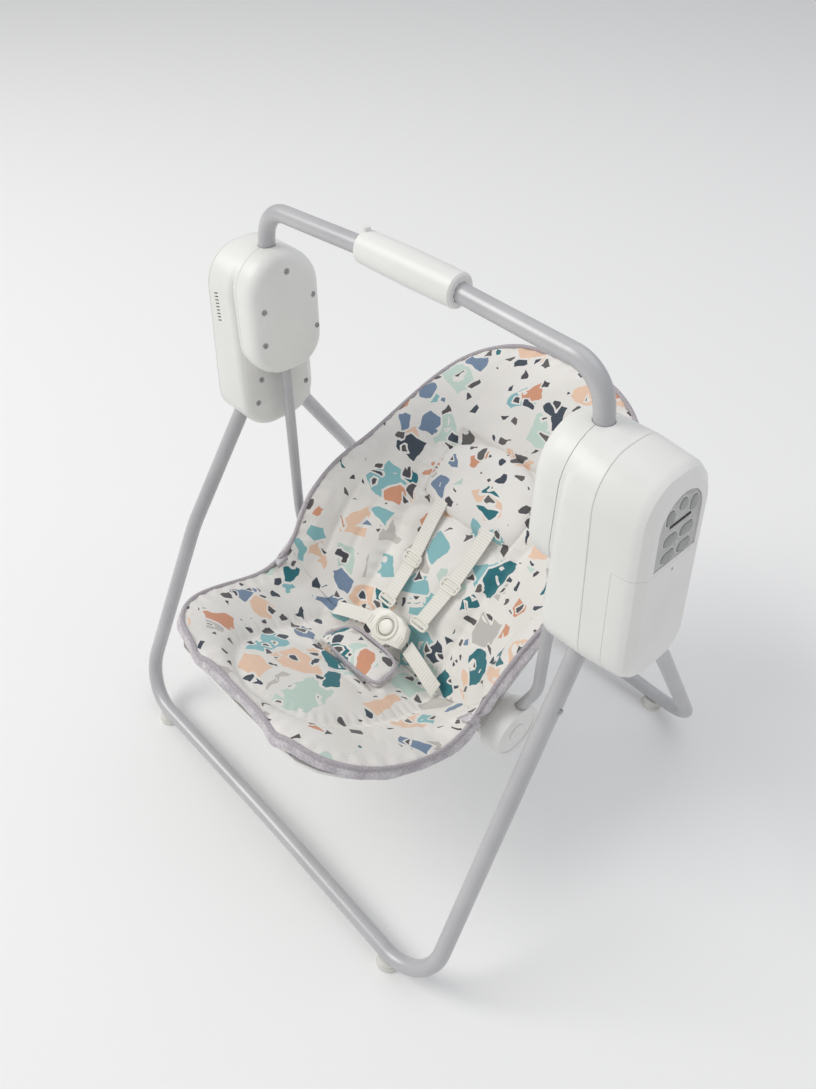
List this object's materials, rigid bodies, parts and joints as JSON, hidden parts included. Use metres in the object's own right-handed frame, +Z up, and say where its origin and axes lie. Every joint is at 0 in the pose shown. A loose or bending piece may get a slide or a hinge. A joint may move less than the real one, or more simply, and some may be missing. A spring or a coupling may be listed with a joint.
{
  "type": "baby swing",
  "caption": "Portable powered baby swing: padded bucket seat with harness on swing arms between side housings, carrying handle and folding bent-tube legs.",
  "frame": {"origin": "bottom centre of the bounding box, on the floor", "axes": "+Z up, the baby faces -Y, +X is the side of the motor housing and control panel"},
  "size_m": [0.669, 0.59, 0.7425],
  "materials": {
    "housing_white": "moulded, satin gloss",
    "acetal": "natural moulding",
    "painted_tube": "silver-grey powder coat, semi-gloss",
    "bare_steel": "zinc plated",
    "foot_rubber": "soft white rubber",
    "panel_grey": "matt film",
    "button_grey": "matt soft-touch",
    "board_green": "solder mask",
    "cell_sheath": "shrink sleeve",
    "patterned_cloth": "printed woven polyester with chip pattern",
    "webbing": "ribbed polyester webbing",
    "buckle_ivory": "moulded, satin"
  },
  "bodies": {
    "frame": {"right_hub_cover": "housing_white", "right_frame_shell": "housing_white", "right_outer_shell": "housing_white", "right_bearing_bush": "acetal", "left_hub_cover": "housing_white", "left_frame_shell": "housing_white", "left_outer_shell": "housing_white", "left_bearing_bush": "acetal", "handle_tube": "painted_tube", "handle_grip": "housing_white", "speaker": "bare_steel", "control_panel": "panel_grey", "circuit_board": "board_green", "battery_tray": "housing_white", "battery_cell_1": "cell_sheath", "battery_cell_2": "cell_sheath", "battery_cell_3": "cell_sheath", "battery_cell_4": "cell_sheath", "motor": "bare_steel", "gearbox_plate": "bare_steel"},
    "front_leg": {"front_leg_tube": "painted_tube", "right_front_leg_pivot": "acetal", "right_front_foot": "foot_rubber", "left_front_leg_pivot": "acetal", "left_front_foot": "foot_rubber"},
    "rear_leg": {"rear_leg_tube": "painted_tube", "right_rear_leg_pivot": "acetal", "right_rear_foot": "foot_rubber", "left_rear_leg_pivot": "acetal", "left_rear_foot": "foot_rubber"},
    "swing": {"right_swing_arm": "painted_tube", "right_hub_axle": "bare_steel", "right_seat_bracket": "housing_white", "left_swing_arm": "painted_tube", "left_hub_axle": "bare_steel", "left_seat_bracket": "housing_white"},
    "seat": {"seat_shell": "housing_white", "seat_pan_pad": "patterned_cloth", "seat_back_pad": "patterned_cloth", "crotch_pad": "patterned_cloth", "buckle_body": "buckle_ivory", "right_shoulder_strap": "webbing", "right_waist_strap": "webbing", "left_shoulder_strap": "webbing", "left_waist_strap": "webbing"},
    "buckle_button": {"buckle_button": "buckle_ivory"},
    "battery_door": {"battery_door": "housing_white"},
    "crank_gear": {"crank_gear": "acetal"},
    "motor_pinion": {"motor_pinion": "acetal"},
    "power_button": {"power_button": "button_grey"},
    "swing_speed_button": {"swing_speed_button": "button_grey"},
    "timer_button": {"timer_button": "button_grey"},
    "melody_button": {"melody_button": "button_grey"},
    "nature_sound_button": {"nature_sound_button": "button_grey"},
    "volume_down_button": {"volume_down_button": "button_grey"},
    "volume_up_button": {"volume_up_button": "button_grey"}
  },
  "joints": [
    {"name": "front_leg_fold", "type": "hinge", "parent": "frame", "child": "front_leg", "pos_m": [-0.01428, -0.051, 0.45], "axis": [1, 0, 0], "range_deg": [0, 24]},
    {"name": "rear_leg_fold", "type": "hinge", "parent": "frame", "child": "rear_leg", "pos_m": [-0.01428, 0.016, 0.45], "axis": [-1, 0, 0], "range_deg": [0, 24]},
    {"name": "swing", "type": "hinge", "parent": "frame", "child": "swing", "pos_m": [-0.01428, -0.025, 0.59], "axis": [1, 0, 0], "range_deg": [-12, 12]},
    {"name": "seat_recline", "type": "hinge", "parent": "swing", "child": "seat", "pos_m": [-0.01428, -0.041, 0.209], "axis": [1, 0, 0], "range_deg": [0, 12]},
    {"name": "battery_door_open", "type": "hinge", "parent": "frame", "child": "battery_door", "pos_m": [0.30785, -0.022, 0.424], "axis": [0, 1, 0], "range_deg": [0, 60]},
    {"name": "crank_gear_turn", "type": "hinge", "parent": "frame", "child": "crank_gear", "pos_m": [-0.01428, -0.025, 0.543], "axis": [1, 0, 0], "continuous": true},
    {"name": "motor_pinion_turn", "type": "hinge", "parent": "frame", "child": "motor_pinion", "pos_m": [-0.01428, -0.025, 0.57425], "axis": [1, 0, 0], "continuous": true},
    {"name": "buckle_button_press", "type": "slide", "parent": "seat", "child": "buckle_button", "axis": [0, 0.6157, -0.788], "range_m": [0, 0.002], "stiffness_N_per_m": 400},
    {"name": "power_button_press", "type": "slide", "parent": "frame", "child": "power_button", "axis": [-0.9969, 0, -0.0785], "range_m": [0, 0.001], "stiffness_N_per_m": 300},
    {"name": "swing_speed_button_press", "type": "slide", "parent": "frame", "child": "swing_speed_button", "axis": [-0.9969, 0, -0.0785], "range_m": [0, 0.001], "stiffness_N_per_m": 300},
    {"name": "timer_button_press", "type": "slide", "parent": "frame", "child": "timer_button", "axis": [-0.9969, 0, -0.0785], "range_m": [0, 0.001], "stiffness_N_per_m": 300},
    {"name": "melody_button_press", "type": "slide", "parent": "frame", "child": "melody_button", "axis": [-0.9969, 0, -0.0785], "range_m": [0, 0.001], "stiffness_N_per_m": 300},
    {"name": "nature_sound_button_press", "type": "slide", "parent": "frame", "child": "nature_sound_button", "axis": [-0.9969, 0, -0.0785], "range_m": [0, 0.001], "stiffness_N_per_m": 300},
    {"name": "volume_down_button_press", "type": "slide", "parent": "frame", "child": "volume_down_button", "axis": [-0.9969, 0, -0.0785], "range_m": [0, 0.001], "stiffness_N_per_m": 300},
    {"name": "volume_up_button_press", "type": "slide", "parent": "frame", "child": "volume_up_button", "axis": [-0.9969, 0, -0.0785], "range_m": [0, 0.001], "stiffness_N_per_m": 300}
  ],
  "couplings": [
    {"joint": "motor_pinion_turn", "follows": "crank_gear_turn", "ratio": -4}
  ]
}
